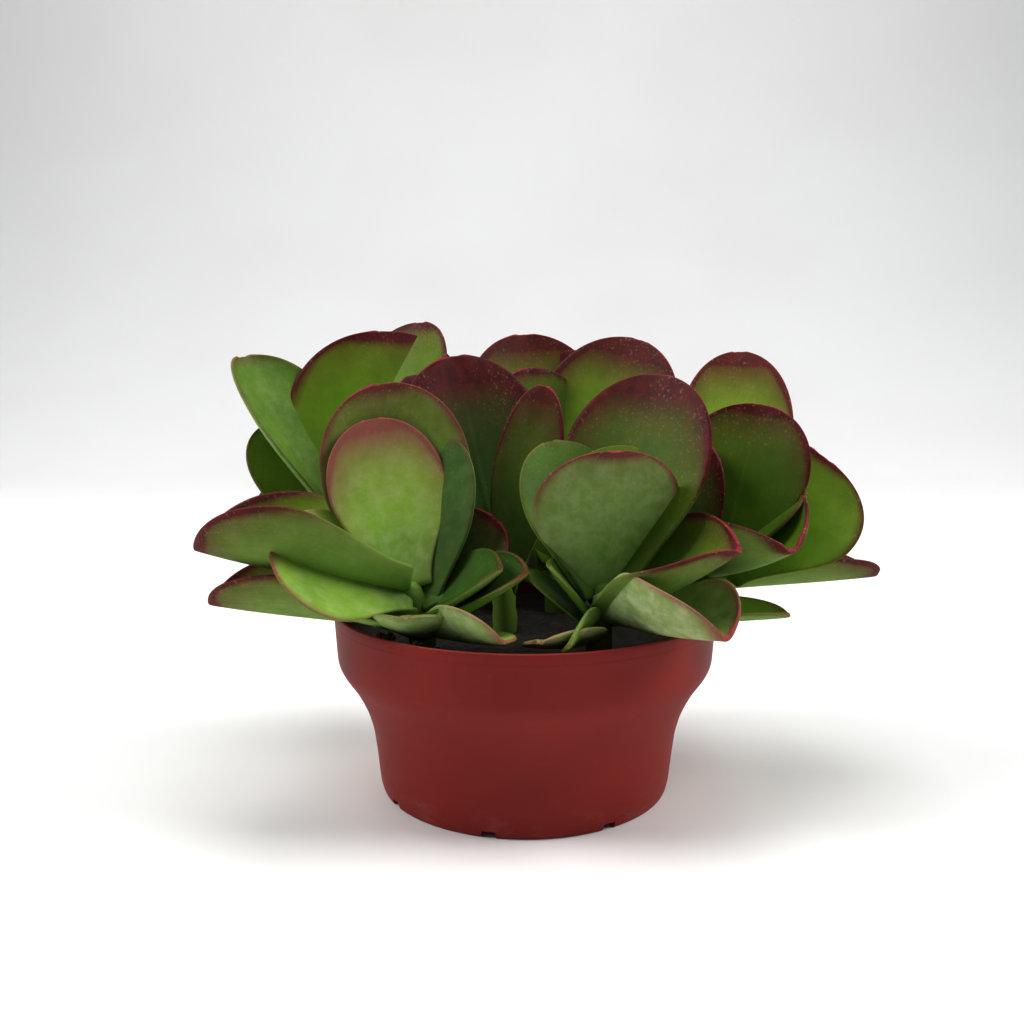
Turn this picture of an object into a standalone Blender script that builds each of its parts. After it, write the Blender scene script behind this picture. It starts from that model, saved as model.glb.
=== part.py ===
"""Paddle plant: six short leafy stems of broad, fleshy, paddle-shaped leaves in a shallow plastic pan.

Metres, +Z up. The origin is the centre of the pot's flat base and the plant faces -Y.
"""

from math import cos, hypot, pi, radians, sin, sqrt

import bmesh
import bpy
import numpy as np

MM = 0.001

# Pot
RIM_RADIUS = 95.0
RIM_TOP = 91.9
WALL = 1.6
FLOOR = 2.0
POT_SIDES = 44
NOTCHES = 8
NOTCH_WIDTH = 6.5
NOTCH_HEIGHT = 3.2
NOTCH_TURN = -103.5

# Soil
SOIL_TOP = 78.0
SOIL_GAP = 0.3
SOIL_SIDES = 28

# Stems
STEM_START = 84.0
STEM_RADIUS = 6.0
FOOT_RADIUS = 6.4
FOOT_BOTTOM = 58.0
HOLE_RADIUS = 6.9
STEM_SIDES = 8

# Leaves
ROOT_SHARE = 0.36
WIDEST_AT = 0.58
MIDRIB_THICKNESS = 4.2
TIP_THICKNESS = 2.2
EDGE_THICKNESS = 1.2
LAST_RING = 0.992

# Outside of the pot, radius and height, from the foot up to the rim.
POT_OUTSIDE = (
    (71.6, 0.0), (72.5, 0.9), (73.6, 5.4), (75.2, 20.4), (76.3, 29.0), (77.8, 35.4), (79.9, 41.9),
    (82.9, 48.4), (86.0, 54.0), (89.8, 59.4), (92.2, 63.4), (93.3, 66.4), (93.7, 69.0), (95.0, 90.9),
)

# name: root x, root y, direction and angle of lean, length. Directions are in degrees, with 0
# to the right, 90 to the back and 270 to the front.
STEMS = {
    "front_left": (-48, -42, 200, 12, 26),
    "back_left": (-58, 30, 178, 42, 62),
    "middle": (-10, 4, 200, 4, 24),
    "front_right": (34, -40, 300, 8, 26),
    "right": (66, 0, 355, 50, 48),
    "back": (18, 50, 100, 10, 30),
}

# Each leaf: place on the stem (0 foot, 1 top), direction, lift above level, length, width,
# bend along its length, fold of its two halves, roll about its length, wave of its edge.
LEAVES = {
    "front_left": (
        (0.95, 132, 69, 84, 58, 12, 18, -28, 0),
        (0.60, 118, 71, 110, 76, 20, 30, -22, 0),
        (0.40, 64, 72, 88, 48, 0, 15, 0, 0),
        (0.95, 184, 12, 100, 100, 8, 78, 1, 0),
        (0.30, 180, 6, 98, 74, 5, 75, 0, 0),
        (0.85, 202, 22, 70, 68, 15, 18, -38, 0),
        (0.10, 265, 24, 44, 40, 30, 30, 0, 0),
        (0.15, 308, 8, 64, 40, 5, 50, -30, 0),
        (0.10, 215, 20, 54, 28, 0, 20, 0, 0),
        (0.70, 20, 42, 56, 50, 20, 30, 45, 0),
        (0.40, 330, 32, 54, 44, 10, 40, 30, 0),
        (0.20, 340, 30, 62, 48, 10, 50, 25, 0),
    ),
    "back_left": (
        (0.60, 82, 69, 128, 104, 5, 18, 4, 0),
        (0.80, 52, 64, 128, 76, 0, 15, 0, 0),
        (1.00, 158, 56, 104, 72, 10, 50, -10, 0),
        (0.60, 156, 47, 94, 64, 0, 15, -30, 0),
        (0.60, 112, 46, 96, 72, 0, 20, 0, 0),
        (0.40, 150, 26, 88, 66, 5, 25, 0, 0),
        (0.20, 112, 16, 72, 56, 10, 25, 0, 0),
    ),
    "middle": (
        (0.70, 158, 64, 118, 58, 0, 12, -20, 0),
        (0.90, 147, 75, 115, 86, 0, 12, -25, 0),
        (0.50, 2, 79, 108, 36, 0, 15, 75, 0),
        (0.30, 112, 40, 46, 36, 0, 20, 0, 0),
    ),
    "front_right": (
        (0.70, 279, 73, 76, 70, -10, 14, 0, 0),
        (0.80, 140, 66, 78, 58, 0, 15, -20, 0),
        (0.70, 58, 71, 76, 60, 0, 15, 10, 0),
        (0.80, 44, 69, 110, 80, 0, 12, 10, 0),
        (0.40, 326, 30, 78, 72, 15, 65, 15, 3),
        (0.40, 312, 3, 72, 76, 10, 75, -12, 3),
        (0.30, 2, 2, 90, 44, 0, 30, 0, 0),
        (0.20, 215, 48, 46, 30, 0, 20, -30, 0),
        (0.10, 205, 40, 50, 22, 0, 20, -30, 0),
        (0.50, 250, -3, 54, 22, 0, 20, 60, 0),
        (0.05, 238, 10, 56, 38, 20, 20, 20, 0),
    ),
    "right": (
        (0.25, 40, 78, 84, 52, 0, 20, 0, 0),
        (0.90, 32, 74, 84, 70, 0, 15, 25, 0),
        (1.00, 76, 66, 114, 60, 0, 15, 0, 0),
        (0.80, 14, 44, 82, 90, 0, 20, 50, 0),
        (0.74, 296, 20, 64, 88, 14, 78, 0, 4),
        (0.90, 340, 44, 55, 40, 0, 20, 20, 0),
        (0.50, 15, 1, 106, 56, 0, 60, 0, 0),
        (0.60, 45, 50, 100, 40, 0, 20, 0, 0),
        (0.62, 86, 34, 80, 60, 0, 20, 0, 0),
        (0.40, 66, 26, 88, 66, 5, 25, 0, 0),
        (0.30, 40, 10, 68, 52, 10, 25, 0, 0),
    ),
    "back": (
        (0.90, 120, 74, 124, 88, 0, 15, -10, 0),
        (0.50, 132, 80, 114, 76, 0, 15, -10, 0),
        (0.80, 70, 74, 118, 46, 0, 15, 0, 0),
        (0.80, 14, 68, 128, 88, 0, 15, 45, 0),
        (0.50, 8, 52, 110, 50, 0, 15, 20, 0),
        (0.60, 68, 52, 98, 74, 0, 20, 0, 0),
        (0.60, 140, 52, 96, 72, 0, 20, 0, 0),
        (0.30, 104, 30, 84, 72, 5, 25, 0, 0),
        (0.10, 62, 14, 66, 56, 10, 30, 0, 0),
        (0.10, 140, 14, 64, 54, 10, 30, 0, 0),
    ),
}


def clear_scene():
    for obj in list(bpy.data.objects):
        bpy.data.objects.remove(obj)


def material(name, colour, roughness):
    made = bpy.data.materials.new(name)
    made.use_nodes = True
    shader = made.node_tree.nodes["Principled BSDF"]
    shader.inputs["Base Color"].default_value = (*colour, 1)
    shader.inputs["Roughness"].default_value = roughness
    return made


def mesh_object(name, points, faces, slot=None):
    """An object from points in millimetres, linked to the scene."""
    mesh = bpy.data.meshes.new(name)
    mesh.from_pydata([tuple(float(c) * MM for c in p) for p in points], [], faces)
    mesh.update()
    obj = bpy.data.objects.new(name, mesh)
    bpy.context.scene.collection.objects.link(obj)
    if slot:
        mesh.materials.append(slot)
    return obj


def apply_modifiers(obj):
    bpy.ops.object.select_all(action="DESELECT")
    obj.select_set(True)
    bpy.context.view_layer.objects.active = obj
    for modifier in list(obj.modifiers):
        bpy.ops.object.modifier_apply(modifier=modifier.name)


def ring_solid(name, rings, slot=None):
    """A closed body from rings of equally many points, each end closed by a fan or a strip."""
    sides = len(rings[0])
    points = [p for ring in rings for p in ring]
    faces = []
    for i in range(len(rings) - 1):
        for j in range(sides):
            a, b = i * sides + j, i * sides + (j + 1) % sides
            faces += [(a, b, b + sides), (a, b + sides, a + sides)]
    last = (len(rings) - 1) * sides
    faces.append(tuple(range(sides - 1, -1, -1)))
    faces.append(tuple(last + j for j in range(sides)))
    return mesh_object(name, points, faces, slot)


def turned(name, profile, sides, slot=None):
    """A solid of revolution from a profile that starts and ends on the axis, going round it
    from the middle of the underside, up the outside and back to the axis."""
    points = [(0, 0, profile[0][1])]
    for r, z in profile[1:-1]:
        for k in range(sides):
            a = 2 * pi * k / sides
            points.append((r * cos(a), r * sin(a), z))
    points.append((0, 0, profile[-1][1]))
    faces = []
    for k in range(sides):
        faces.append((0, 1 + (k + 1) % sides, 1 + k))
    rows = len(profile) - 2
    for i in range(rows - 1):
        for k in range(sides):
            a, b = 1 + i * sides + k, 1 + i * sides + (k + 1) % sides
            faces += [(a, b, b + sides), (a, b + sides, a + sides)]
    top = 1 + (rows - 1) * sides
    for k in range(sides):
        faces.append((top + k, top + (k + 1) % sides, len(points) - 1))
    return mesh_object(name, points, faces, slot)


def inset(profile, distance):
    """The profile moved inwards by a distance at right angles to itself."""
    moved = []
    for i, (r, z) in enumerate(profile):
        r0, z0 = profile[max(i - 1, 0)]
        r1, z1 = profile[min(i + 1, len(profile) - 1)]
        length = hypot(r1 - r0, z1 - z0)
        moved.append((r - distance * (z1 - z0) / length, z + distance * (r1 - r0) / length))
    return moved


def inner_wall(gap):
    """The inside of the wall above the floor, from the bottom up, moved in by a gap."""
    wall = [(r, z) for r, z in inset(POT_OUTSIDE, WALL + gap)[2::2] if z > 4]
    return wall + [(RIM_RADIUS - WALL - gap, 90.0)]


def pot_body():
    wall = inner_wall(0)
    lip = [(RIM_RADIUS, RIM_TOP - 0.5), (RIM_RADIUS - 0.5, RIM_TOP), (RIM_RADIUS - 1.3, RIM_TOP)]
    profile = [(0, 0)] + list(POT_OUTSIDE) + lip + wall[::-1]
    profile += [(wall[0][0] - 0.7, FLOOR), (0, FLOOR)]
    return turned("pot", profile, POT_SIDES, material("pot_plastic", (0.16, 0.030, 0.021), 0.55))


def notch_cutter(k):
    """A block through the foot of the wall, just above the floor's underside."""
    a = radians(NOTCH_TURN + 360 * k / NOTCHES)
    out, side = (cos(a), sin(a)), (-sin(a), cos(a))
    rings = []
    for z in (-1.0, NOTCH_HEIGHT):
        ring = []
        for r, w in ((67.5, -1), (67.5, 1), (78, 1), (78, -1)):
            half = w * NOTCH_WIDTH / 2
            ring.append((r * out[0] + half * side[0], r * out[1] + half * side[1], z))
        rings.append(ring[::-1])
    return ring_solid(f"notch_cutter_{k}", rings)


def collection_of(name, objects):
    """A collection holding just these objects."""
    group = bpy.data.collections.new(name)
    bpy.context.scene.collection.children.link(group)
    for obj in objects:
        bpy.context.scene.collection.objects.unlink(obj)
        group.objects.link(obj)
        obj.hide_render = True
        obj.display_type = "WIRE"
    return group


def combine(obj, others, operation, solver="EXACT"):
    """Joins the other objects to this one, or cuts them from it, and removes them."""
    group = collection_of(obj.name + "_others", others)
    boolean = obj.modifiers.new("combine", "BOOLEAN")
    boolean.operation = operation
    boolean.solver = solver
    boolean.operand_type = "COLLECTION"
    boolean.collection = group
    apply_modifiers(obj)
    for other in others:
        bpy.data.objects.remove(other)
    bpy.data.collections.remove(group)


def soil_height(x, y):
    """Low, uneven ground that dips a little towards the middle of the pan."""
    bumps = sin(x / 7.0 + 1.3) * sin(y / 6.0 + 0.4) + 0.6 * sin(x / 3.9 + y / 5.1)
    return SOIL_TOP - 1.5 + 0.9 * bumps


def soil_body():
    """The ground, filling the pan a little below the rim."""
    wall = [(r, z) for r, z in inner_wall(SOIL_GAP) if z < SOIL_TOP - 4]
    top_radius = wall[-1][0] + 0.4
    rows = [(wall[0][0] - 0.7, FLOOR + SOIL_GAP)] + wall + [(top_radius, SOIL_TOP - 3)]
    body = turned("soil", [(0, FLOOR + SOIL_GAP)] + rows + top_rows(top_radius), SOIL_SIDES)
    body.data.materials.append(material("soil_dark", (0.022, 0.014, 0.010), 0.95))
    for vertex in body.data.vertices:
        x, y, z = vertex.co / MM
        if z > SOIL_TOP - 1.6:
            vertex.co.z = soil_height(x, y) * MM
    holes = [hole_cutter(name) for name in STEMS]
    combine(body, holes, "DIFFERENCE")
    return body


def top_rows(radius):
    """Rings of the ground's surface, from the wall to the middle."""
    return [(radius * share, SOIL_TOP) for share in (0.97, 0.82, 0.64, 0.44, 0.22, 0)]


def hole_cutter(name):
    """The plain hole that a stem's foot stands in."""
    x, y = STEMS[name][:2]
    rings = [circle((x, y, z), HOLE_RADIUS, 12) for z in (FOOT_BOTTOM - 1, STEM_START + 6)]
    return ring_solid("hole_" + name, rings)


def circle(centre, radius, sides):
    ring = []
    for k in range(sides):
        a = 2 * pi * (k + 0.3) / sides
        ring.append((centre[0] + radius * cos(a), centre[1] + radius * sin(a), centre[2]))
    return ring


def stem_point(name, place):
    x, y, direction, lean, length = STEMS[name]
    a, l = radians(direction), radians(lean)
    along = place * length
    out = sin(l) * along
    return np.array([x + out * cos(a), y + out * sin(a), STEM_START + cos(l) * along])


def stem_body(name):
    """The stem, from its foot in the soil, bending over where it comes out."""
    x, y = STEMS[name][:2]
    rings = [circle((x, y, FOOT_BOTTOM), FOOT_RADIUS - 0.4, STEM_SIDES)]
    rings.append(circle((x, y, STEM_START - 5), FOOT_RADIUS, STEM_SIDES))
    for place in (0.0, 0.35, 0.7, 1.0, 1.12):
        centre = stem_point(name, place)
        radius = STEM_RADIUS * (1 - 0.25 * place) * (0.5 if place > 1 else 1)
        rings.append(circle(centre, radius, STEM_SIDES))
    return ring_solid("leafy_stem_" + name, rings)


def width_share(u):
    """Half width of the blade at u of its length, as a share of the widest."""
    if u < WIDEST_AT:
        t = u / WIDEST_AT
        return ROOT_SHARE + (1 - ROOT_SHARE) * (t * t * (3 - 2 * t)) ** 0.9
    t = (u - WIDEST_AT) / (1 - WIDEST_AT)
    return sqrt(max(0.0, 1 - t**2.2))


def leaf_frame(direction, lift, roll):
    """Unit vectors along the leaf, across it and out of its upper face."""
    a, e, r = radians(direction), radians(lift), radians(roll)
    along = np.array([cos(e) * cos(a), cos(e) * sin(a), sin(e)])
    upper = np.array([-sin(e) * cos(a), -sin(e) * sin(a), cos(e)])
    across = np.cross(along, upper)
    return along, across * cos(r) - upper * sin(r), upper * cos(r) + across * sin(r)


def midrib(start, along, upper, length, bend, u):
    """Point, direction and upper side of the curved midrib at u of its length."""
    turn = radians(bend)
    if abs(turn) < 1e-3:
        return start + along * length * u, along, upper
    radius = length / (2 * sin(turn / 2))
    angle = turn * (u - 0.5)
    forward = radius * (sin(angle) + sin(turn / 2))
    off = -radius * (cos(angle) - cos(turn / 2))
    point = start + along * forward + upper * off
    return point, along * cos(angle) + upper * sin(angle), upper * cos(angle) - along * sin(angle)


def section(v, half, fold):
    """Across and up of the folded blade at v (-1 to 1) of its half width."""
    steps = (np.arange(8) + 0.5) / 8 * abs(v)
    angles = fold * steps**0.7
    reach = half * abs(v)
    return (1 if v > 0 else -1) * reach * np.mean(np.cos(angles)), reach * np.mean(np.sin(angles))


def leaf_rings(stem, leaf):
    """Closed rings round the leaf, from its root inside the stem to its tip."""
    place, direction, lift, length, width, bend, fold, roll, wave = leaf
    along, across, upper = leaf_frame(direction, lift, roll)
    start = stem_point(stem, place)
    big = length * width > 3600
    rows, columns = (5, 4) if big else (4, 4)
    rings = []
    for i in range(rows + 1):
        u = LAST_RING * (1 - (1 - i / rows) ** 1.6)
        point, ahead, up = midrib(start, along, upper, length, bend, u)
        half = width / 2 * width_share(u)
        folded = radians(fold) * (1.15 - 0.3 * u)
        middle = MIDRIB_THICKNESS + (TIP_THICKNESS - MIDRIB_THICKNESS) * u
        top, under = [], []
        for j in range(columns + 1):
            v = 2 * j / columns - 1
            x, y = section(v, half, folded) if v else (0.0, 0.0)
            y += wave * v * abs(v) * sin(2 * pi * u)
            tilt = folded * abs(v) ** 0.7 * (1 if v > 0 else -1)
            face = up * cos(tilt) - across * sin(tilt)
            thick = EDGE_THICKNESS + (middle - EDGE_THICKNESS) * (1 - v * v)
            centre = point + across * x + up * y
            top.append(centre + face * thick / 2)
            under.append(centre - face * thick / 2)
        rings.append(top + under[::-1])
    return rings


def keep_main_body(obj):
    """Drops the small shells of pockets that crossing leaves seal off, and any loose scrap."""
    shape = bmesh.new()
    shape.from_mesh(obj.data)
    left, islands = set(shape.faces), []
    while left:
        island, edge = [], [left.pop()]
        while edge:
            face = edge.pop()
            island.append(face)
            for other in (linked for side in face.edges for linked in side.link_faces):
                if other in left:
                    left.discard(other)
                    edge.append(other)
        islands.append(island)
    islands.sort(key=len)
    scraps = [face for island in islands[:-1] for face in island]
    bmesh.ops.delete(shape, geom=scraps, context="FACES")
    shape.to_mesh(obj.data)
    shape.free()


def leafy_stem(name, slot):
    """One stem with all its leaves fused to it."""
    stem = stem_body(name)
    leaves = [ring_solid(f"leaf_{name}_{k}", leaf_rings(name, leaf)) for k, leaf in enumerate(LEAVES[name])]
    for obj in [stem, *leaves]:
        face_outwards(obj)
    combine(stem, leaves, "UNION")
    keep_main_body(stem)
    stem.data.materials.clear()
    stem.data.materials.append(slot)
    return stem


def face_outwards(obj):
    """Turns the faces of a closed body outwards, by the sign of its volume."""
    mesh = obj.data
    mesh.calc_loop_triangles()
    volume = 0.0
    for t in mesh.loop_triangles:
        a, b, c = (mesh.vertices[i].co for i in t.vertices)
        volume += a.dot(b.cross(c))
    if volume < 0:
        mesh.flip_normals()


def shade(obj, degrees):
    """Smooth shading that keeps the edges sharper than an angle."""
    mesh = obj.data
    mesh.shade_smooth()
    mesh.set_sharp_from_angle(angle=radians(degrees))


def build():
    clear_scene()
    pot = pot_body()
    face_outwards(pot)
    cutters = [notch_cutter(k) for k in range(NOTCHES)]
    for cutter in cutters:
        face_outwards(cutter)
    combine(pot, cutters, "DIFFERENCE")
    soil = soil_body()
    made = [pot, soil]
    for name in STEMS:
        slot = material("leaf_" + name, (0.13, 0.21, 0.045), 0.45)
        made.append(leafy_stem(name, slot))
    for obj in made:
        shade(obj, 40)


build()
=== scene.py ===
from math import cos, pi, radians, sin

import bmesh
import bpy
import numpy as np
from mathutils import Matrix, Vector


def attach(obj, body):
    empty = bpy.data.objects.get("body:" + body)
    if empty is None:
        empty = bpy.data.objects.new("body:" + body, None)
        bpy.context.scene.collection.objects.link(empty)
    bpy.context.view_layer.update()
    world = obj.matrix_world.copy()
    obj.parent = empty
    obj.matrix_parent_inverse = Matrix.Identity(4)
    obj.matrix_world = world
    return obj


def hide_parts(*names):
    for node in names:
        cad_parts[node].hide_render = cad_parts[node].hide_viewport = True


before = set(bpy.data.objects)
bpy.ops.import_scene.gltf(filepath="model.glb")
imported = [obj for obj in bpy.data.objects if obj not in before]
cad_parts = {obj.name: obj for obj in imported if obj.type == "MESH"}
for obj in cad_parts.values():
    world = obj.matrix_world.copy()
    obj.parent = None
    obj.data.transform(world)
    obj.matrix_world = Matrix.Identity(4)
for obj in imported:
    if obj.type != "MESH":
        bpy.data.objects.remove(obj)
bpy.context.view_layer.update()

# The camera stands a little above the leaves, half a metre in front of the pan, and looks
# slightly down at it, as the photograph does.
camera_data = bpy.data.cameras.new("camera")
camera_data.sensor_width = 36
camera_data.lens = camera_data.sensor_width * 1004 / 1024
camera_data.clip_start = 0.01
camera = bpy.data.objects.new("camera", camera_data)
camera.location = (-0.0064, -0.4967, 0.2073)
camera.rotation_euler = (radians(90 - 7.94), 0, 0)
bpy.context.scene.collection.objects.link(camera)
bpy.context.scene.camera = camera

# The pot: a shallow nursery pan, injection moulded in matt brick-red plastic with an upright
# rim band, a curved shoulder below it and a plain tapering foot. Eight small drain slots are
# cut through its foot where the wall meets the floor.
POT_TURNS = 160
# radius and height in millimetres, up the outside of the wall, over the rim and down the inside
POT_OUTLINE = (
    (71.6, 0.0), (72.2, 0.3), (72.5, 0.9), (73.0, 2.6), (73.6, 5.4), (74.4, 13.0), (75.2, 20.4),
    (75.8, 25.0), (76.3, 29.0), (77.0, 32.4), (77.8, 35.4), (78.8, 38.8), (79.9, 41.9), (81.3, 45.2),
    (82.9, 48.4), (84.4, 51.2), (86.0, 54.0), (88.0, 56.9), (89.8, 59.4), (91.2, 61.5), (92.2, 63.4),
    (92.9, 65.0), (93.3, 66.4), (93.55, 67.6), (93.7, 69.0), (94.3, 78.0), (94.75, 86.0),
    (94.85, 86.5), (94.75, 86.9), (94.9, 87.6), (95.0, 90.9), (94.9, 91.5), (94.5, 91.9), (93.9, 91.9),
    (93.45, 91.6), (93.3, 90.9), (93.1, 86.0), (92.1, 69.0), (91.7, 66.8), (90.7, 64.2), (84.6, 54.8),
    (81.4, 49.0), (78.4, 42.4), (76.3, 35.8), (74.8, 29.0), (72.1, 5.6), (71.4, 2.0),
)
POT_SMOOTH_UNDER = 35
SLOT_COUNT = 8
SLOT_TURN = -103.5
# place and size in metres of the blocks that cut the slots
SLOT_RADIUS = 0.0727
SLOT_MIDDLE = 0.0006
SLOT_SIZE = (0.0105, 0.0065, 0.0052)
SLOT_ROUNDING = 0.0006

# two reds that cloud into each other, and the dust that settles on them
PLASTIC_REDS = ((0.226, 0.021, 0.015), (0.256, 0.026, 0.019))
PLASTIC_DUST = (0.40, 0.15, 0.12)


def deselect_all():
    """Operators act on all that is selected, so each piece starts from nothing selected."""
    bpy.ops.object.select_all(action="DESELECT")


def place_at_origin(obj):
    """Puts the object's place, turn and size into its mesh."""
    deselect_all()
    obj.select_set(True)
    bpy.context.view_layer.objects.active = obj
    bpy.ops.object.transform_apply(location=True, rotation=True, scale=True)


def apply_all(obj):
    """Applies the object's modifiers in their order."""
    deselect_all()
    obj.select_set(True)
    bpy.context.view_layer.objects.active = obj
    for modifier in list(obj.modifiers):
        bpy.ops.object.modifier_apply(modifier=modifier.name)


def join_all(objects):
    """Makes one object of several and hands it back."""
    deselect_all()
    for obj in objects:
        obj.select_set(True)
    bpy.context.view_layer.objects.active = objects[0]
    bpy.ops.object.join()
    return objects[0]


def shade_smooth(obj):
    for polygon in obj.data.polygons:
        polygon.use_smooth = True


def make_pot():
    """A disc at the foot, extruded up the wall, over the rim and down inside to the floor."""
    deselect_all()
    first_radius, first_height = POT_OUTLINE[0]
    bpy.ops.mesh.primitive_circle_add(
        vertices=POT_TURNS, radius=first_radius / 1000, fill_type="NGON", location=(0, 0, 0)
    )
    pot = bpy.context.object
    pot.name = "grow_pot"
    bpy.ops.object.mode_set(mode="EDIT")
    bpy.ops.mesh.select_mode(type="VERT")
    bpy.ops.mesh.select_all(action="SELECT")
    radius, height = first_radius, first_height
    for next_radius, next_height in POT_OUTLINE[1:]:
        bpy.ops.mesh.extrude_region_move(
            TRANSFORM_OT_translate={"value": (0, 0, (next_height - height) / 1000)}
        )
        share = next_radius / radius
        bpy.ops.transform.resize(value=(share, share, 1), center_override=(0, 0, 0))
        radius, height = next_radius, next_height
    bpy.ops.mesh.select_all(action="SELECT")
    bpy.ops.mesh.normals_make_consistent(inside=False)
    bpy.ops.object.mode_set(mode="OBJECT")
    place_at_origin(pot)
    return pot


def cut_slots(pot):
    """Cuts the drain slots with small rounded blocks."""
    cutters = []
    for k in range(SLOT_COUNT):
        turn = radians(SLOT_TURN + 360 * k / SLOT_COUNT)
        middle = (SLOT_RADIUS * cos(turn), SLOT_RADIUS * sin(turn), SLOT_MIDDLE)
        deselect_all()
        bpy.ops.mesh.primitive_cube_add(size=1, location=middle, rotation=(0, 0, turn))
        cutter = bpy.context.object
        cutter.scale = SLOT_SIZE
        place_at_origin(cutter)
        bevel = cutter.modifiers.new("rounded", "BEVEL")
        bevel.width = SLOT_ROUNDING
        bevel.segments = 2
        apply_all(cutter)
        cutters.append(cutter)
    blocks = join_all(cutters)
    cut = pot.modifiers.new("slots", "BOOLEAN")
    cut.operation = "DIFFERENCE"
    cut.solver = "EXACT"
    cut.object = blocks
    apply_all(pot)
    bpy.data.objects.remove(blocks)


class Maths:
    """A number or vector socket that can be used in Python expressions."""

    def __init__(self, nodes, socket):
        self.nodes = nodes
        self.socket = socket

    def _math(self, operation, *values):
        return self.nodes.add("ShaderNodeMath", {"operation": operation}, dict(enumerate(values)))

    def __add__(self, other):
        return self._math("ADD", self, other)

    __radd__ = __add__

    def __sub__(self, other):
        return self._math("SUBTRACT", self, other)

    def __rsub__(self, other):
        return self._math("SUBTRACT", other, self)

    def __mul__(self, other):
        return self._math("MULTIPLY", self, other)

    __rmul__ = __mul__

    def __abs__(self):
        return self._math("ABSOLUTE", self)

    def smooth(self, low, high):
        """0 below low, 1 above high and a soft step between them."""
        settings = {"interpolation_type": "SMOOTHSTEP"}
        sockets = {0: self, 1: low, 2: high, 3: 0.0, 4: 1.0}
        return self.nodes.add("ShaderNodeMapRange", settings, sockets)

    def clipped(self):
        """Held between 0 and 1."""
        return self._math("MINIMUM", self._math("MAXIMUM", self, 0.0), 1.0)


class Finish:
    """A Principled material that is built up by adding nodes to it."""

    def __init__(self, name):
        self.material = bpy.data.materials.new(name)
        self.material.use_nodes = True
        self.tree = self.material.node_tree
        self.shader = self.tree.nodes["Principled BSDF"]

    def add(self, kind, settings, sockets, out=0):
        """Adds a node, sets it, fills its sockets by place or name and hands back one output."""
        node = self.tree.nodes.new(kind)
        for key, value in settings.items():
            setattr(node, key, value)
        for key, value in sockets.items():
            self._fill(node.inputs[key], value)
        return Maths(self, node.outputs[out])

    def _fill(self, socket, value):
        """Links an expression to a socket, or sets a plain number or colour on it."""
        if isinstance(value, Maths):
            self.tree.links.new(value.socket, socket)
        elif isinstance(value, tuple) and socket.type == "RGBA":
            socket.default_value = (*value, 1)
        else:
            socket.default_value = value

    def place(self):
        """Where a point is on the piece."""
        return self.add("ShaderNodeTexCoord", {}, {}, out=3)

    def part_of(self, vector, axis):
        """The x (0), y (1) or z (2) of a vector."""
        return self.add("ShaderNodeSeparateXYZ", {}, {0: vector}, out=axis)

    def attribute(self, name):
        return self.add("ShaderNodeAttribute", {"attribute_name": name}, {}, out=2)

    def stretched(self, vector, scale):
        return self.add("ShaderNodeMapping", {}, {"Vector": vector, "Scale": scale})

    def noise(self, vector, scale, detail=3.0, roughness=0.5):
        sockets = {"Vector": vector, "Scale": scale, "Detail": detail, "Roughness": roughness}
        return self.add("ShaderNodeTexNoise", {}, sockets)

    def mix(self, share, first, second):
        """A colour between two colours."""
        return self.add("ShaderNodeMix", {"data_type": "RGBA"}, {0: share, 6: first, 7: second}, out=2)

    def wear(self, colour, roughness):
        """Joins the colour and roughness to the shader."""
        self._fill(self.shader.inputs["Base Color"], colour)
        self._fill(self.shader.inputs["Roughness"], roughness)

    def emboss(self, height, distance, strength):
        """Gives the surface a fine relief."""
        sockets = {"Strength": strength, "Distance": distance, "Height": height}
        self._fill(self.shader.inputs["Normal"], self.add("ShaderNodeBump", {}, sockets))


def pot_plastic():
    """Matt red plastic with a fine grain, a few scuffs and some dust near the foot."""
    plastic = Finish("pot_plastic_matt")
    place = plastic.place()
    cloud = plastic.noise(place, 14, 3)
    grain = plastic.noise(place, 900, 2)
    dust = plastic.noise(plastic.stretched(place, (1, 1, 2.6)), 60, 5, 0.65)
    near_foot = 1 - plastic.part_of(place, 2).smooth(0.0, 0.02)
    low_dust = near_foot * dust.smooth(0.45, 0.75) * 0.35
    scuffs = dust.smooth(0.60, 0.78) * 0.10
    red = plastic.mix(cloud.smooth(0.3, 0.7), *PLASTIC_REDS)
    dusty = plastic.mix(low_dust + scuffs, red, PLASTIC_DUST)
    plastic.wear(dusty, 0.44 + cloud * 0.12 + scuffs * 0.8)
    plastic.emboss(grain, 0.00006, 0.5)
    plastic.shader.inputs["Specular IOR Level"].default_value = 0.25
    return plastic.material


pot = make_pot()
cut_slots(pot)
pot.data.materials.clear()
pot.data.materials.append(pot_plastic())
deselect_all()
pot.select_set(True)
bpy.context.view_layer.objects.active = pot
bpy.ops.object.shade_smooth_by_angle(angle=radians(POT_SMOOTH_UNDER))
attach(pot, "root")
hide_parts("pot")

# The soil: dark, coarse potting mix of bark and fibre, filling the pan to a finger's width
# below its rim and pressed down round the stems.
SOIL_TOP = 78.0
SOIL_RADIUS = 91.5
SOIL_RINGS = 58
SOIL_SPOKES = 150
SOIL_SIDE = (
    (91.4, 74.0), (90.2, 66.0), (84.0, 55.0), (76.0, 36.5), (74.4, 29.0), (71.4, 5.0), (70.6, 2.4),
)
# width and height in metres
SOIL_LUMPS = (("coarse_lumps", 0.006, 0.0022), ("fine_lumps", 0.0022, 0.0012))
# painted shade: the darker brown is near black, partly the mix's own dark colour and partly painted
# shade for the gap under the leaves
SOIL_BROWNS_WITH_PAINTED_SHADE = ((0.006, 0.0045, 0.0035), (0.030, 0.019, 0.012))
SOIL_FIBRE = (0.07, 0.042, 0.024)


def soil_height(x, y):
    """Low, uneven ground."""
    bumps = sin(x / 7.0 + 1.3) * sin(y / 6.0 + 0.4) + 0.6 * sin(x / 3.9 + y / 5.1)
    return SOIL_TOP - 1.5 + 0.9 * bumps


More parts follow.
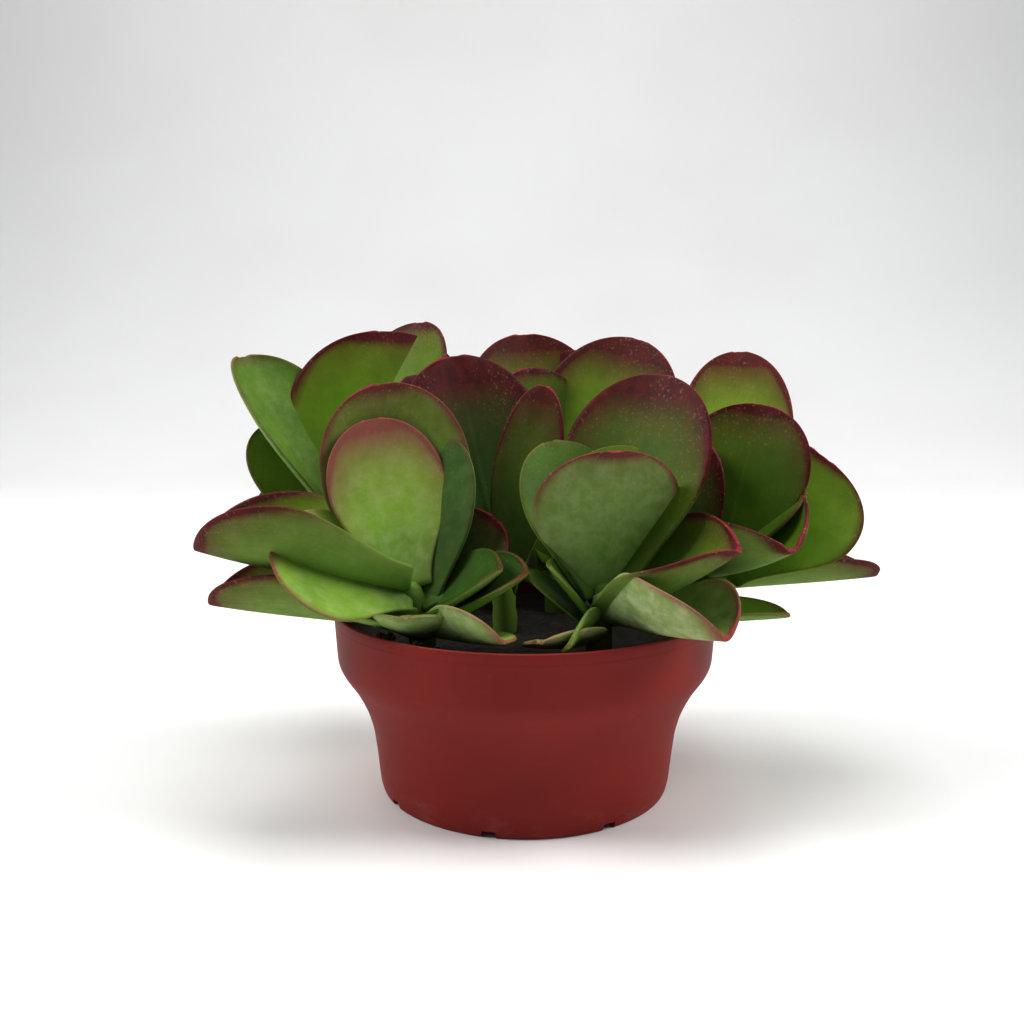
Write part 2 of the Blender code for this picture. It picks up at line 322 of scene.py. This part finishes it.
def make_soil():
    """A flat disc of fine rings, made from its rim inwards."""
    deselect_all()
    bpy.ops.mesh.primitive_circle_add(
        vertices=SOIL_SPOKES, radius=SOIL_RADIUS / 1000, fill_type="NGON"
    )
    soil = bpy.context.object
    soil.name = "potting_soil"
    bpy.ops.object.mode_set(mode="EDIT")
    bpy.ops.mesh.select_all(action="SELECT")
    bpy.ops.mesh.delete(type="ONLY_FACE")
    bpy.ops.mesh.select_all(action="SELECT")
    outer = SOIL_RADIUS
    for ring in range(1, SOIL_RINGS):
        bpy.ops.mesh.extrude_edges_move()
        inner = SOIL_RADIUS * (1 - ring / SOIL_RINGS)
        bpy.ops.transform.resize(value=(inner / outer,) * 3, center_override=(0, 0, 0))
        outer = inner
    bpy.ops.mesh.merge(type="CENTER")
    bpy.ops.object.mode_set(mode="OBJECT")
    return soil


def roughen_soil(soil):
    """Lifts the flat disc to the ground's height and adds lumps of two sizes."""
    for vertex in soil.data.vertices:
        x, y = vertex.co.x * 1000, vertex.co.y * 1000
        vertex.co.z = soil_height(x, y) / 1000
    for name, size, depth in SOIL_LUMPS:
        texture = bpy.data.textures.new(name, "CLOUDS")
        texture.noise_scale = size
        texture.noise_depth = 2
        lumps = soil.modifiers.new(name, "DISPLACE")
        lumps.texture = texture
        lumps.texture_coords = "LOCAL"
        lumps.direction = "Z"
        lumps.strength = depth
        lumps.mid_level = 0.6
    apply_all(soil)


def close_soil(soil):
    """Takes the edge of the ground down inside the wall to the pot's floor and closes it."""
    shape = bmesh.new()
    shape.from_mesh(soil.data)
    edges = [e for e in shape.edges if e.is_boundary]
    for radius, height in SOIL_SIDE:
        made = bmesh.ops.extrude_edge_only(shape, edges=edges)["geom"]
        edges = [g for g in made if isinstance(g, bmesh.types.BMEdge)]
        for vertex in {v for e in edges for v in e.verts}:
            out = Vector((vertex.co.x, vertex.co.y, 0)).normalized() * radius / 1000
            vertex.co = (out.x, out.y, height / 1000)
    bmesh.ops.contextual_create(shape, geom=edges)
    bmesh.ops.recalc_face_normals(shape, faces=shape.faces)
    shape.to_mesh(soil.data)
    shape.free()


def soil_finish():
    """Dark grains, darkened nearly to black as painted shade, with browner patches of fibre among
    them.
    """
    finish = Finish("potting_mix")
    place = finish.place()
    bits = finish.noise(place, 420, 4, 0.7)
    patches = finish.noise(place, 90, 4, 0.6)
    dark = finish.mix(bits.smooth(0.35, 0.7), *SOIL_BROWNS_WITH_PAINTED_SHADE)
    finish.wear(finish.mix(patches.smooth(0.58, 0.75) * 0.5, dark, SOIL_FIBRE), 0.8 + bits * 0.2)
    finish.emboss(bits, 0.0006, 0.8)
    return finish.material


soil = make_soil()
roughen_soil(soil)
close_soil(soil)
soil.data.materials.append(soil_finish())
shade_smooth(soil)
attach(soil, "root")
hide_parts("soil")

# The crumbs: bits of bark and root fibre on the pan's front rim at the left, where soil was
# spilt when it was filled. They stick to the damp edge, and some hang over it.
CRUMB_SQUASH = (1.0, 0.75, 0.62)
CRUMB_LUMP_SIZE, CRUMB_LUMP_DEPTH = 1.6, 1.8
# x, y, height and radius
CRUMB_PLACES = (
    (-63.5, -66.2, 91.6, 2.6), (-61.2, -68.6, 91.3, 2.2), (-65.0, -64.4, 92.0, 1.8),
    (-60.2, -66.4, 92.0, 2.0), (-63.0, -68.8, 89.2, 1.5), (-48.0, -79.2, 91.8, 1.7),
    (-45.6, -80.4, 92.0, 1.3), (-58.0, -70.6, 92.0, 1.2), (-38.0, -84.0, 92.1, 1.0),
    (-66.5, -64.6, 88.4, 1.1),
)


def make_crumb(k, x, y, z, size):
    """A small lump, pulled out of round by a coarse noise."""
    deselect_all()
    bpy.ops.mesh.primitive_ico_sphere_add(
        subdivisions=3, radius=size / 1000, location=(x / 1000, y / 1000, z / 1000)
    )
    crumb = bpy.context.object
    crumb.name = f"crumb_{k}"
    crumb.rotation_euler = (0.7 * k, 0.4 * k, 1.1 * k)
    crumb.scale = CRUMB_SQUASH
    place_at_origin(crumb)
    texture = bpy.data.textures.new(f"lump_{k}", "CLOUDS")
    texture.noise_scale = CRUMB_LUMP_SIZE / 1000
    lumps = crumb.modifiers.new("lumps", "DISPLACE")
    lumps.texture = texture
    lumps.texture_coords = "LOCAL"
    lumps.strength = CRUMB_LUMP_DEPTH / 1000
    apply_all(crumb)
    return crumb


crumbs = [make_crumb(k, *place) for k, place in enumerate(CRUMB_PLACES)]
rim_crumbs = join_all(crumbs)
rim_crumbs.name = "rim_crumbs"
# the crumbs share the soil's finish, with its browns darkened as painted shade
rim_crumbs.data.materials.append(soil.data.materials[0])
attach(rim_crumbs, "root")

# The leafy stems: six short, thick green stems, each carrying pairs of broad fleshy leaves that
# clasp it. The leaves are smooth and cool, about 4 mm thick at the middle, with rounded edges
# flushed crimson, a matt grey-white bloom on their backs and their darkest red on the tops.
STEM_START = 84.0
# a blade's outline: its width at the root, where it is widest, and how it swells and rounds off
ROOT_SHARE = 0.36
WIDEST_AT = 0.58
SWELL_POWER = 0.9
TIP_POWER = 2.2
# a fold bends most near the midrib, and more at the root than at the tip
FOLD_POWER = 0.7
FOLD_STEPS = 8
FOLD_AT_ROOT, FOLD_LESS_AT_TIP = 1.15, 0.3
LEAF_ROWS = 26
LEAF_COLUMNS = 18
LEAF_THICKEST = 4.2
LEAF_EDGE = 1.5
LEAF_TIP_THINNER = 2.0
# the leaves stay this much shorter and narrower than the solid ones, to keep inside their size
TRIM = 1.2
# heights and radii of the bare stem: two below the ground, then at shares of its length
STEM_SIDES = 20
STEM_BURIED = (60.0, 78.0)
STEM_SHARES = (0.0, 0.2, 0.4, 0.6, 0.8, 1.0, 1.1)
STEM_RADII = (6.2, 6.2, 6.4, 5.8, 6.2, 5.4, 5.7, 4.8, 2.6)
# the bare stem's side, edge, wash, yellow share that is partly painted light, bloom and start, as
# mark_leaf works them out for a leaf
STEM_FINISH = (0.8, 0.0, 0.0, 0.6, 0.2, 0.0)
# each leaf's pattern starts this much further on, so that no two are alike
PATTERN_STEP = 3.7

# colours in pairs cloud into each other over the leaf
# painted light and shade: the shaded greens are painted shade for leaves lying in shade, and the sunny
# greens and sunny back are painted light for the lit ones
SHADED_GREENS = ((0.026, 0.072, 0.005), (0.046, 0.112, 0.008))
SUNNY_GREENS = ((0.185, 0.350, 0.016), (0.285, 0.470, 0.030))
ROOT_GREEN = (0.080, 0.155, 0.018)
RIB_GREEN = (0.22, 0.30, 0.10)
BACK_GREENS = ((0.155, 0.270, 0.046), (0.225, 0.355, 0.078))
SUNNY_BACK = (0.185, 0.320, 0.042)
MOTTLE_GREEN = (0.055, 0.105, 0.012)
BLOOM_WHITE = (0.52, 0.58, 0.36)
CRIMSONS = ((0.062, 0.009, 0.008), (0.125, 0.016, 0.016))
BLOOMED_CRIMSON = (0.30, 0.115, 0.090)
RIM_RED = (0.29, 0.034, 0.046)
SPECKLE = (0.42, 0.36, 0.24)

# root x, root y, direction and angle of lean, length
STEMS = {
    "front_left": (-48, -42, 200, 12, 26),
    "back_left": (-58, 30, 178, 42, 62),
    "middle": (-10, 4, 200, 4, 24),
    "front_right": (34, -40, 300, 8, 26),
    "right": (66, 0, 355, 50, 48),
    "back": (18, 50, 100, 10, 30),
}

# Each leaf: place on the stem, direction, lift, length, width, bend, fold, roll, wave, then its
# finish: width of the crimson edge, depth of the red wash over its top, how yellow it is, which is
# partly its own tone and partly painted light and shade, and how thick its bloom is.
LEAVES = {
    "front_left": (
        (0.95, 132, 69, 84, 58, 12, 18, -28, 0, 0.9, 0.75, 0.85, 1.9),
        (0.60, 118, 71, 110, 76, 20, 30, -22, 0, 0.8, 0.3, 0.4, 0.8),
        (0.40, 64, 72, 88, 48, 0, 15, 0, 0, 0.3, 0.0, 0.0, 0.4),
        (0.95, 184, 12, 100, 100, 8, 78, 1, 0, 1.0, 0.65, 1.0, 0.3),
        (0.30, 180, 6, 98, 74, 5, 75, 0, 0, 1.0, 0.6, 0.7, 0.4),
        (0.85, 202, 22, 70, 68, 15, 18, -38, 0, 0.8, 0.05, 0.9, 1.5),
        (0.10, 265, 24, 44, 40, 30, 30, 0, 0, 0.3, 0.0, 0.5, 1.2),
        (0.15, 308, 8, 64, 40, 5, 50, -30, 0, 0.6, 0.1, 0.6, 1.5),
        (0.10, 215, 20, 54, 28, 0, 20, 0, 0, 0.3, 0.0, 0.3, 0.5),
        (0.70, 20, 42, 56, 50, 20, 30, 45, 0, 0.8, 0.4, 0.0, 0.1),
        (0.40, 330, 32, 54, 44, 10, 40, 30, 0, 0.3, 0.0, 0.0, 0.1),
        (0.20, 340, 30, 62, 48, 10, 50, 25, 0, 0.5, 0.0, 0.0, 0.1),
    ),
    "back_left": (
        (0.60, 82, 69, 128, 104, 5, 18, 4, 0, 1.0, 0.4, 0.7, 0.1),
        (0.80, 52, 64, 128, 76, 0, 15, 0, 0, 0.9, 0.35, 0.5, 0.1),
        (1.00, 158, 56, 104, 72, 10, 50, -10, 0, 0.5, 0.0, 0.35, 0.8),
        (0.60, 156, 47, 94, 64, 0, 15, -30, 0, 0.8, 0.1, 0.4, 0.1),
        (0.60, 112, 46, 96, 72, 0, 20, 0, 0, 0.8, 0.2, 0.6, 0.1),
        (0.40, 150, 26, 88, 66, 5, 25, 0, 0, 0.7, 0.2, 0.5, 0.1),
        (0.20, 112, 16, 72, 56, 10, 25, 0, 0, 0.5, 0.1, 0.3, 0.1),
    ),
    "middle": (
        (0.70, 158, 64, 118, 58, 0, 12, -20, 0, 1.0, 1.0, 0.0, 0.1),
        (0.90, 147, 75, 115, 86, 0, 12, -25, 0, 1.0, 1.0, 0.0, 0.0),
        (0.50, 2, 79, 108, 36, 0, 15, 75, 0, 1.0, 0.7, 0.4, 0.6),
        (0.30, 112, 40, 46, 36, 0, 20, 0, 0, 0.8, 0.3, 0.2, 0.1),
    ),
    "front_right": (
        (0.70, 279, 73, 76, 70, -10, 14, 0, 0, 1.0, 0.3, 0.85, 1.1),
        (0.80, 140, 66, 78, 58, 0, 15, -20, 0, 0.3, 0.0, 0.2, 0.5),
        (0.70, 58, 71, 76, 60, 0, 15, 10, 0, 0.3, 0.0, 0.5, 0.5),
        (0.80, 44, 69, 110, 80, 0, 12, 10, 0, 1.0, 0.85, 0.25, 0.0),
        (0.40, 326, 30, 78, 72, 15, 65, 15, 3, 1.0, 0.45, 0.5, 0.4),
        (0.40, 312, 3, 72, 76, 10, 75, -12, 3, 0.9, 0.15, 0.75, 2.2),
        (0.30, 2, 2, 90, 44, 0, 30, 0, 0, 0.5, 0.1, 0.4, 0.1),
        (0.20, 215, 48, 46, 30, 0, 20, -30, 0, 0.2, 0.0, 0.1, 0.1),
        (0.10, 205, 40, 50, 22, 0, 20, -30, 0, 0.2, 0.0, 0.1, 0.2),
        (0.50, 250, -3, 54, 22, 0, 20, 60, 0, 0.2, 0.0, 0.3, 0.5),
        (0.05, 238, 10, 56, 38, 20, 20, 20, 0, 0.5, 0.0, 0.7, 2.2),
    ),
    "right": (
        (0.25, 40, 78, 84, 52, 0, 20, 0, 0, 1.0, 1.0, 0.0, 0.1),
        (0.90, 32, 74, 84, 70, 0, 15, 25, 0, 1.0, 0.6, 0.25, 0.0),
        (1.00, 76, 66, 114, 60, 0, 15, 0, 0, 1.0, 0.7, 1.0, 0.5),
        (0.80, 14, 44, 82, 90, 0, 20, 50, 0, 1.0, 0.2, 0.7, 0.1),
        (0.74, 296, 20, 64, 88, 14, 78, 0, 4, 1.0, 0.25, 0.8, 0.3),
        (0.90, 340, 44, 55, 40, 0, 20, 20, 0, 0.6, 0.2, 0.4, 0.2),
        (0.50, 15, 1, 106, 56, 0, 60, 0, 0, 1.0, 0.9, 0.5, 0.2),
        (0.60, 45, 50, 100, 40, 0, 20, 0, 0, 0.8, 0.5, 0.4, 0.1),
        (0.62, 86, 34, 80, 60, 0, 20, 0, 0, 0.8, 0.4, 0.6, 0.1),
        (0.40, 66, 26, 88, 66, 5, 25, 0, 0, 0.7, 0.3, 0.5, 0.1),
        (0.30, 40, 10, 68, 52, 10, 25, 0, 0, 0.6, 0.2, 0.4, 0.1),
    ),
    "back": (
        (0.90, 120, 74, 124, 88, 0, 15, -10, 0, 1.0, 0.75, 0.9, 0.3),
        (0.50, 132, 80, 114, 76, 0, 15, -10, 0, 0.9, 0.3, 0.5, 0.1),
        (0.80, 70, 74, 118, 46, 0, 15, 0, 0, 0.8, 0.5, 0.7, 0.1),
        (0.80, 14, 68, 128, 88, 0, 15, 45, 0, 1.0, 0.8, 0.95, 0.3),
        (0.50, 8, 52, 110, 50, 0, 15, 20, 0, 0.9, 0.6, 0.5, 0.1),
        (0.60, 68, 52, 98, 74, 0, 20, 0, 0, 0.9, 0.5, 0.6, 0.1),
        (0.60, 140, 52, 96, 72, 0, 20, 0, 0, 0.9, 0.4, 0.6, 0.1),
        (0.30, 104, 30, 84, 72, 5, 25, 0, 0, 0.8, 0.3, 0.5, 0.1),
        (0.10, 62, 14, 66, 56, 10, 30, 0, 0, 0.6, 0.2, 0.4, 0.1),
        (0.10, 140, 14, 64, 54, 10, 30, 0, 0, 0.6, 0.2, 0.4, 0.1),
    ),
}


def stem_point(name, place):
    """A point at a share of the way up the stem's middle."""
    x, y, direction, lean, length = STEMS[name]
    a, l = radians(direction), radians(lean)
    out = sin(l) * place * length
    return np.array([x + out * cos(a), y + out * sin(a), STEM_START + cos(l) * place * length])


def width_share(u):
    """Half width of the blade at u of its length, as a share of the widest."""
    low = np.clip(u / WIDEST_AT, 0, 1)
    high = np.clip((u - WIDEST_AT) / (1 - WIDEST_AT), 0, 1)
    root = ROOT_SHARE + (1 - ROOT_SHARE) * (low * low * (3 - 2 * low)) ** SWELL_POWER
    return np.where(u < WIDEST_AT, root, np.sqrt(1 - high**TIP_POWER))


def leaf_frame(direction, lift, roll):
    """Unit vectors along the leaf, across it and out of its upper face."""
    a, e, r = radians(direction), radians(lift), radians(roll)
    along = np.array([cos(e) * cos(a), cos(e) * sin(a), sin(e)])
    upper = np.array([-sin(e) * cos(a), -sin(e) * sin(a), cos(e)])
    across = np.cross(along, upper)
    return along, across * cos(r) - upper * sin(r), upper * cos(r) + across * sin(r)


def midrib(start, along, upper, length, bend, u):
    """Points and upper sides of the curved midrib at u of its length."""
    u = u[:, None]
    turn = radians(bend)
    if abs(turn) < 0.001:
        return start + along * length * u, np.repeat(upper[None], len(u), axis=0)
    radius = length / (2 * sin(turn / 2))
    angle = turn * (u - 0.5)
    forward = radius * (np.sin(angle) + sin(turn / 2))
    off = -radius * (np.cos(angle) - cos(turn / 2))
    return start + along * forward + upper * off, upper * np.cos(angle) - along * np.sin(angle)


def section(v, half, fold):
    """Across and up of the folded blade at v (-1 to 1) of its half width."""
    steps = (np.arange(FOLD_STEPS)[:, None] + 0.5) / FOLD_STEPS * abs(v)
    angles = fold * steps**FOLD_POWER
    reach = half * abs(v)
    return np.sign(v) * reach * np.cos(angles).mean(axis=0), reach * np.sin(angles).mean(axis=0)


def blade(stem, leaf, u, v):
    """Points and upper directions of a leaf's middle surface at u along it and v across it."""
    place, direction, lift, length, width, bend, fold, roll, wave = leaf[:9]
    along, across, upper = leaf_frame(direction, lift, roll)
    point, up = midrib(stem_point(stem, place), along, upper, length - TRIM, bend, u)
    folded = radians(fold) * (FOLD_AT_ROOT - FOLD_LESS_AT_TIP * u)
    x, y = section(v, (width - TRIM) / 2 * width_share(u), folded)
    y = y + wave * v * abs(v) * np.sin(2 * pi * u)
    tilt = (folded * abs(v) ** FOLD_POWER * np.sign(v))[:, None]
    return point + across * x[:, None] + up * y[:, None], up * np.cos(tilt) - across * np.sin(tilt)


def blade_thickness(u, v):
    """Thick along the middle and at the root, thin at the tip and the edges."""
    return LEAF_EDGE + (LEAF_THICKEST - LEAF_EDGE - LEAF_TIP_THINNER * u) * (1 - v * v)


def make_leaf(stem, leaf, k):
    """A flat grid shaped to the leaf, thickened both ways and rounded at its edge."""
    deselect_all()
    bpy.ops.mesh.primitive_grid_add(x_subdivisions=LEAF_ROWS, y_subdivisions=LEAF_COLUMNS, size=2)
    obj = bpy.context.object
    obj.name = f"leaf_{stem}_{k}"
    mesh = obj.data
    group = obj.vertex_groups.new(name="flesh")
    phase = np.random.default_rng(100 * list(STEMS).index(stem) + k).uniform(0, 6.28, 3)
    flat = np.array([vertex.co[:2] for vertex in mesh.vertices])
    # the rows crowd towards the tip and the columns towards the edges, where the outline turns
    u = np.minimum(1 - ((1 - flat[:, 0]) / 2).clip(0, 1) ** 1.6, 0.997)
    v = 0.35 * np.sin(flat[:, 1] * pi / 2) + 0.65 * flat[:, 1]
    point, up = blade(stem, leaf, u, v)
    ripple = 0.35 * np.sin(5.1 * u + phase[0]) * np.sin(3.3 * v + phase[1])
    ripple += 0.2 * np.sin(9 * u + phase[2]) * v
    mesh.vertices.foreach_set("co", ((point + up * ripple[:, None]) / 1000).ravel())
    for index, thickness in enumerate(blade_thickness(u, v)):
        group.add([index], thickness / LEAF_THICKEST, "REPLACE")
    layer = mesh.uv_layers[0]
    layer.name = "leaf_flow"
    corners = np.array([loop.vertex_index for loop in mesh.loops])
    layer.data.foreach_set("uv", np.stack([u, 0.5 + v / 2], axis=1)[corners].ravel())
    thick = obj.modifiers.new("flesh", "SOLIDIFY")
    thick.thickness = LEAF_THICKEST / 1000
    thick.offset = 0
    thick.vertex_group = "flesh"
    thick.use_even_offset = False
    round_edge = obj.modifiers.new("rounding", "SUBSURF")
    round_edge.levels = 1
    round_edge.render_levels = 1
    apply_all(obj)
    mark_leaf(obj, stem, leaf, k)
    return obj


def mark_leaf(obj, stem, leaf, k):
    """Stores what the finish needs: the upper side, the leaf's colours with its share of painted
    light, and its pattern's start.
    """
    mesh = obj.data
    normals = np.array([vertex.normal for vertex in mesh.vertices])
    corners = np.array([loop.vertex_index for loop in mesh.loops])
    uv = np.empty(len(corners) * 2)
    mesh.uv_layers[0].data.foreach_get("uv", uv)
    flow = np.zeros((len(mesh.vertices), 2))
    flow[corners] = uv.reshape(-1, 2)
    upper = blade(stem, leaf, flow[:, 0], flow[:, 1] * 2 - 1)[1]
    side = 0.5 + 0.5 * np.sum(normals * upper, axis=1)
    edge, wash, yellow_and_painted_light, bloom = leaf[9:]
    store_finish(mesh, side, edge, wash, yellow_and_painted_light, bloom, PATTERN_STEP * k)


def store_finish(mesh, side, edge, wash, yellow_and_painted_light, bloom, start):
    """Keeps each value on the mesh, as leaf_side, leaf_edge and so on."""
    values = {
        "side": side, "edge": edge, "wash": wash, "yellow_and_painted_light": yellow_and_painted_light, "bloom": bloom, "start": start,
    }
    for name, value in values.items():
        numbers = np.broadcast_to(np.float32(value), len(mesh.vertices))
        mesh.attributes.new("leaf_" + name, "FLOAT", "POINT").data.foreach_set("value", numbers)


def make_stem(name):
    """The bare stem with a slightly swollen ring where each pair of leaves joins."""
    x, y = STEMS[name][:2]
    path = [Vector((x, y, z)) / 1000 for z in STEM_BURIED]
    path += [Vector(stem_point(name, share)) / 1000 for share in STEM_SHARES]
    deselect_all()
    bpy.ops.mesh.primitive_circle_add(
        vertices=STEM_SIDES, radius=STEM_RADII[0] / 1000, fill_type="NGON", location=path[0]
    )
    stem = bpy.context.object
    stem.name = f"stem_{name}"
    bpy.ops.object.mode_set(mode="EDIT")
    bpy.ops.mesh.select_mode(type="VERT")
    bpy.ops.mesh.select_all(action="SELECT")
    for i in range(1, len(path)):
        step = path[i] - path[i - 1]
        bpy.ops.mesh.extrude_region_move(TRANSFORM_OT_translate={"value": step})
        share = STEM_RADII[i] / STEM_RADII[i - 1]
        bpy.ops.transform.resize(value=(share, share, share), center_override=path[i])
    bpy.ops.mesh.select_all(action="SELECT")
    bpy.ops.mesh.normals_make_consistent(inside=False)
    bpy.ops.object.mode_set(mode="OBJECT")
    place_at_origin(stem)
    store_finish(stem.data, *STEM_FINISH)
    layer = stem.data.uv_layers[0] if stem.data.uv_layers else stem.data.uv_layers.new()
    layer.name = "leaf_flow"
    for loop in stem.data.loops:
        layer.data[loop.index].uv = (0.05, 0.5)
    return stem


class LeafFinish(Finish):
    """A finish that knows where it is on a leaf, and the values that are kept on that leaf."""

    def __init__(self, name):
        super().__init__(name)
        flow = self.add("ShaderNodeUVMap", {"uv_map": "leaf_flow"}, {})
        start = self.attribute("leaf_start")
        starts = self.add("ShaderNodeCombineXYZ", {}, {0: start, 1: start, 2: start})
        place = self.add("ShaderNodeVectorMath", {"operation": "ADD"}, {0: self.place(), 1: starts})
        self.along = self.part_of(flow, 0)
        self.across = abs(self.part_of(flow, 1) * 2 - 1)
        self.upper = self.attribute("leaf_side").smooth(0.35, 0.65)
        self.back = 1 - self.upper
        self.edge = self.attribute("leaf_edge")
        self.wash = self.attribute("leaf_wash")
        self.yellow_and_painted_light = self.attribute("leaf_yellow_and_painted_light")
        self.bloom = self.attribute("leaf_bloom")
        self.cloud = self.noise(place, 26, 4, 0.6)
        self.mottle = self.noise(place, 55, 6, 0.7)
        self.fine = self.noise(place, 150, 5, 0.65)
        self.speck = self.noise(place, 700, 2, 0.5)
        self.lines = self.noise(self.stretched(flow, (4, 60, 1)), 1.0, 5, 0.65)
        self.inside = self.in_from_edge()

    def in_from_edge(self):
        """0 at the leaf's edge and about 1 along its middle."""
        from_tip = (1 - self.along) * 2.6
        from_side = (1 - self.across) * 1.15 + (1 - self.along) * 0.25
        settings = {"operation": "SMOOTH_MIN"}
        return self.add("ShaderNodeMath", settings, {0: from_tip, 1: from_side, 2: 0.25})

    def greens(self):
        """The upper side, painted darker or lighter by the leaf's yellow share, duller at its root and
        paler along the midrib, and the grey-green back.
        """
        patches = self.cloud.smooth(0.3, 0.7)
        shaded = self.mix(patches, *SHADED_GREENS)
        # painted light and shade: the yellow share moves the upper side from the shaded greens to the
        # sunny ones
        upper = self.mix(self.yellow_and_painted_light, shaded, self.mix(patches, *SUNNY_GREENS))
        upper = self.mix((1 - self.along.smooth(0.05, 0.45)) * 0.5, upper, ROOT_GREEN)
        rib = 1 - (self.across * (0.4 + self.along)).smooth(0.0, 0.05)
        upper = self.mix(rib * 0.25 * (1 - self.along), upper, RIB_GREEN)
        back = self.mix(self.lines.smooth(0.3, 0.75), *BACK_GREENS)
        # painted light on the back too: the yellow share moves it towards the sunny back
        back = self.mix(self.yellow_and_painted_light * 0.6, back, SUNNY_BACK)
        skin = self.mix(self.upper, back, upper)
        return self.mix(self.mottle.smooth(0.42, 0.72) * 0.22, skin, MOTTLE_GREEN)

    def powdered(self, skin):
        """The powdery bloom, thickest on the backs of the leaves."""
        cover = (0.35 + self.fine.smooth(0.35, 0.70) * 0.65) * self.bloom
        return self.mix(cover * (0.18 + self.back * 0.18), skin, BLOOM_WHITE)

    def redness(self):
        """The crimson band along the edge, its soft inner side and the wash over the top."""
        ragged = self.inside + (self.cloud - 0.5) * 0.20 + (self.lines - 0.5) * 0.10
        band = (1 - ragged.smooth(0.02, 0.25)) * self.edge
        tip = 0.40 + self.along.smooth(0.40, 1.0) * 0.75
        soft = (1 - ragged.smooth(0.02, 0.85)) * self.wash * tip
        top = self.along.smooth(0.30, 1.05) * self.wash * (0.40 + self.cloud * 0.60)
        return (band * 0.80 + soft * 0.80 + top * (1 - self.back * 0.6) * 0.75).clipped()

    def flushed(self, skin, red):
        """Crimson where the leaf is red, with a brighter line along its very rim."""
        crimson = self.mix(self.fine.smooth(0.3, 0.7), *CRIMSONS)
        crimson = self.mix(self.bloom * 0.45, crimson, BLOOMED_CRIMSON)
        skin = self.mix(red, skin, crimson)
        rim_line = (1 - self.inside.smooth(0.0, 0.040)) * 0.65 * self.edge
        return self.mix(rim_line, skin, RIM_RED)

    def speckled(self, skin, red):
        """Fine pale specks, most of them in the red."""
        specks = self.speck.smooth(0.58, 0.70) * self.cloud.smooth(0.35, 0.60)
        return self.mix(specks * (0.12 + red * 0.20), skin, SPECKLE)


def leaf_flesh():
    """Green skin under a powdery bloom, flushed crimson from the edge and finely speckled."""
    flesh = LeafFinish("paddle_leaf")
    red = flesh.redness()
    skin = flesh.flushed(flesh.powdered(flesh.greens()), red)
    rough = 0.44 + flesh.back * 0.12 + flesh.bloom * 0.08 + flesh.fine * 0.10
    flesh.wear(flesh.speckled(skin, red), rough)
    flesh.emboss(flesh.fine * 0.5 + flesh.lines * 0.5, 0.00025, 0.25)
    flesh.shader.inputs["Specular IOR Level"].default_value = 0.14
    return flesh.material


leaf_material = leaf_flesh()
for name in STEMS:
    pieces = [make_stem(name)] + [make_leaf(name, leaf, k) for k, leaf in enumerate(LEAVES[name])]
    foliage = join_all(pieces)
    foliage.name = "foliage_" + name
    foliage.data.materials.append(leaf_material)
    shade_smooth(foliage)
    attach(foliage, "root")
    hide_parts("leafy_stem_" + name)

# The floor: a plain matt off-white sheet that curves up behind the pot, as in a photographer's
# studio. It isn't part of the plant.
FLOOR_FRONT, FLOOR_BACK, FLOOR_SIDE, WALL_HEIGHT = -3.0, 2.6, 4.0, 3.4
SWEEP_RADIUS = 1.3
PAPER_WHITES = ((0.735, 0.735, 0.725), (0.765, 0.765, 0.757))


def make_floor():
    """A flat sheet whose back edge is drawn up and rounded into a wall."""
    deselect_all()
    bpy.ops.mesh.primitive_plane_add(size=2, location=(0, 0, 0))
    floor = bpy.context.object
    floor.name = "studio_floor"
    floor.scale = (FLOOR_SIDE, (FLOOR_BACK - FLOOR_FRONT) / 2, 1)
    floor.location = (0, (FLOOR_BACK + FLOOR_FRONT) / 2, 0)
    place_at_origin(floor)
    bpy.ops.object.mode_set(mode="EDIT")
    bpy.ops.mesh.select_mode(type="EDGE")
    bpy.ops.mesh.select_all(action="DESELECT")
    bpy.ops.object.mode_set(mode="OBJECT")
    for edge in floor.data.edges:
        edge.select = all(floor.data.vertices[i].co.y > FLOOR_BACK - 0.01 for i in edge.vertices)
    bpy.ops.object.mode_set(mode="EDIT")
    bpy.ops.mesh.extrude_region_move(TRANSFORM_OT_translate={"value": (0, 0, WALL_HEIGHT)})
    bpy.ops.object.mode_set(mode="OBJECT")
    sweep = floor.modifiers.new("sweep", "BEVEL")
    sweep.width = SWEEP_RADIUS
    sweep.segments = 24
    apply_all(floor)
    shade_smooth(floor)
    return floor


def studio_paper():
    """Matt white that is very slightly uneven."""
    paper = Finish("studio_white")
    cloud = paper.noise(paper.place(), 1.5, 3)
    paper.wear(paper.mix(cloud.smooth(0.3, 0.7), *PAPER_WHITES), 0.6 + cloud * 0.1)
    return paper.material


floor = make_floor()
floor.data.materials.append(studio_paper())

# The light: two large soft boxes high on the left and the right, a weaker one straight above
# and an even, faintly blue surround.
SURROUND = (0.93, 0.96, 1.0)
SURROUND_STRENGTH = 0.26
# below 1, for the firm contrast of the photograph
PICTURE_GAMMA = 0.78


def soft_box(name, place, target, size, watts):
    """A square light at a place, turned to face its target."""
    data = bpy.data.lights.new(name, "AREA")
    data.shape = "SQUARE"
    data.size = size
    data.energy = watts
    obj = bpy.data.objects.new(name, data)
    bpy.context.scene.collection.objects.link(obj)
    obj.location = place
    aim = Vector(target) - Vector(place)
    obj.rotation_euler = aim.to_track_quat("-Z", "Y").to_euler()


soft_box("key_left", (-1.9, -0.2, 1.8), (0, 0, 0.12), 1.2, 54)
soft_box("key_right", (2.0, -0.1, 1.7), (0, 0, 0.12), 1.2, 54)
soft_box("top", (0, 0.1, 2.5), (0, 0.2, 0), 1.5, 33)
world = bpy.data.worlds.new("studio")
bpy.context.scene.world = world
world.use_nodes = True
surround = world.node_tree.nodes["Background"]
surround.inputs["Color"].default_value = (*SURROUND, 1)
surround.inputs["Strength"].default_value = SURROUND_STRENGTH
bpy.context.scene.view_settings.view_transform = "Standard"
bpy.context.scene.view_settings.gamma = PICTURE_GAMMA
